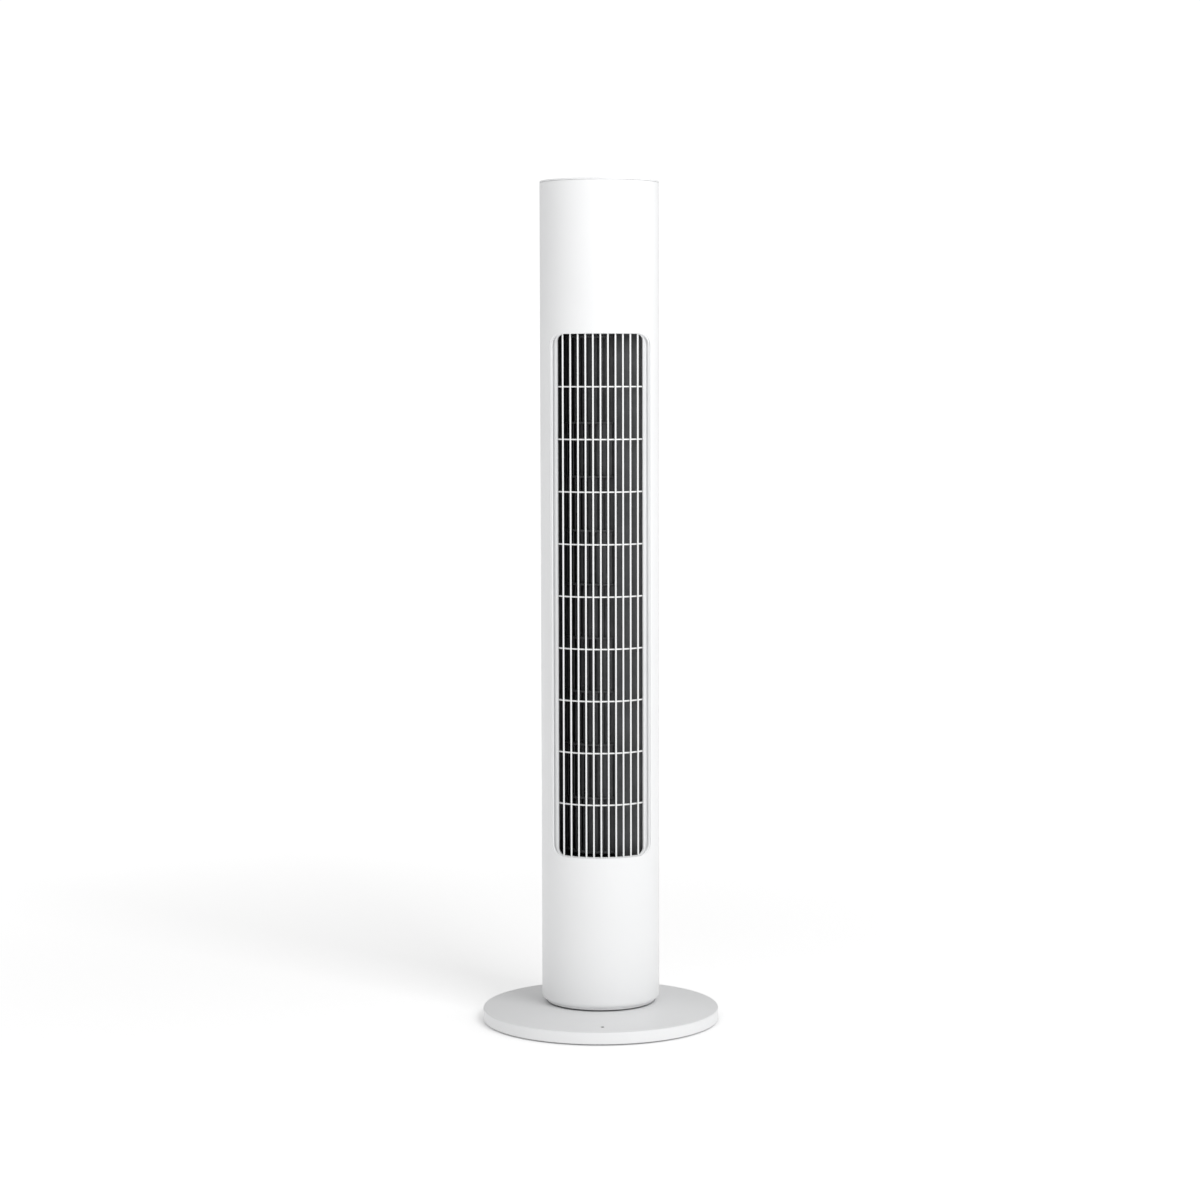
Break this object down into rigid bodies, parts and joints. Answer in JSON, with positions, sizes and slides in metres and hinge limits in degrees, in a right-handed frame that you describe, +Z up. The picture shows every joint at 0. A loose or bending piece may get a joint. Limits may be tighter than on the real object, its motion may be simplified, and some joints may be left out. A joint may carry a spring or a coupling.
{
  "type": "tower fan",
  "caption": "Free-standing tower fan: a round white column with a tall barred air outlet, which swings on a low round base.",
  "frame": {"origin": "on the swing axis at floor level, the centre of the round base's footprint", "axes": "+Z up along the column; -Y is the front, where the air comes out; +X is to the right of someone facing the fan"},
  "size_m": [0.305, 0.305, 1.08],
  "materials": {
    "white_shell": "satin moulded",
    "white_grille": "satin moulded",
    "white_keys": "satin moulded",
    "dark_plastic": "matte moulded",
    "steel": "plated",
    "rubber": "matte",
    "pale_plastic": "waxy moulded",
    "brass": "turned",
    "copper_winding": "enamelled",
    "magnet": "sintered",
    "cable_jacket": "soft",
    "circuit_board": "coated",
    "grey_dot": "matte",
    "display_dark": "polished"
  },
  "bodies": {
    "base": {"base_cover": "white_shell", "base_plate": "white_shell", "counterweight": "steel", "rubber_feet": "rubber", "base_screws": "steel", "swivel_hub": "pale_plastic", "hub_screws": "steel", "lower_race": "steel", "fixed_gear": "pale_plastic", "retaining_clip": "steel", "power_inlet": "dark_plastic", "inlet_pins": "brass", "base_lead": "cable_jacket", "front_index_dot": "grey_dot"},
    "ball_cage": {"ball_cage": "pale_plastic", "bearing_balls": "steel"},
    "column": {"turntable_plate": "dark_plastic", "upper_race": "steel", "bottom_trim_ring": "white_shell", "front_housing": "white_shell", "rear_housing": "white_shell", "foot_screws": "steel", "housing_screws": "steel", "front_grille": "white_grille", "rear_grille": "white_grille", "grille_screws": "steel", "scroll": "dark_plastic", "stabilizer": "dark_plastic", "duct_floor": "dark_plastic", "duct_ceiling": "dark_plastic", "bearing_cup": "rubber", "bearing_bush": "brass", "bearing_cap": "steel", "motor_can": "steel", "stator_core": "copper_winding", "motor_bearings": "steel", "motor_grommets": "rubber", "motor_screws": "steel", "chassis": "dark_plastic", "main_board": "circuit_board", "power_board": "circuit_board", "column_lead": "cable_jacket", "wiring_harness": "cable_jacket", "control_ribbon": "cable_jacket", "swing_motor": "steel", "swing_motor_screws": "steel", "top_cover": "white_shell", "control_panel": "white_shell", "display_window": "display_dark", "control_board": "circuit_board"},
    "rotor": {"impeller": "dark_plastic", "impeller_stub_shaft": "steel", "rotor_magnet": "magnet", "motor_shaft": "steel"},
    "swing_pinion": {"swing_pinion": "pale_plastic"},
    "key_power": {"key_power": "white_keys"},
    "key_swing": {"key_swing": "white_keys"},
    "key_speed": {"key_speed": "white_keys"},
    "key_timer": {"key_timer": "white_keys"}
  },
  "joints": [
    {"name": "column_swivel", "type": "hinge", "parent": "base", "child": "column", "pos_m": [0, 0, 0.034], "axis": [0, 0, 1], "range_deg": [-75, 75]},
    {"name": "cage_roll", "type": "hinge", "parent": "base", "child": "ball_cage", "pos_m": [0, 0, 0.028], "axis": [0, 0, 1], "range_deg": [-37.5, 37.5]},
    {"name": "pinion_spin", "type": "hinge", "parent": "column", "child": "swing_pinion", "pos_m": [0, 0.04, 0.05], "axis": [0, 0, 1], "range_deg": [-225, 225]},
    {"name": "impeller_spin", "type": "hinge", "parent": "column", "child": "rotor", "pos_m": [0, 0, 0.554], "axis": [0, 0, 1], "continuous": true},
    {"name": "key_power_press", "type": "slide", "parent": "column", "child": "key_power", "axis": [0, 0, -1], "range_m": [0, 0.0006], "stiffness_N_per_m": 1500, "springref_m": -0.0006},
    {"name": "key_swing_press", "type": "slide", "parent": "column", "child": "key_swing", "axis": [0, 0, -1], "range_m": [0, 0.0006], "stiffness_N_per_m": 1500, "springref_m": -0.0006},
    {"name": "key_speed_press", "type": "slide", "parent": "column", "child": "key_speed", "axis": [0, 0, -1], "range_m": [0, 0.0006], "stiffness_N_per_m": 1500, "springref_m": -0.0006},
    {"name": "key_timer_press", "type": "slide", "parent": "column", "child": "key_timer", "axis": [0, 0, -1], "range_m": [0, 0.0006], "stiffness_N_per_m": 1500, "springref_m": -0.0006}
  ],
  "couplings": [
    {"joint": "cage_roll", "follows": "column_swivel", "ratio": 0.5},
    {"joint": "pinion_spin", "follows": "column_swivel", "ratio": 3}
  ]
}
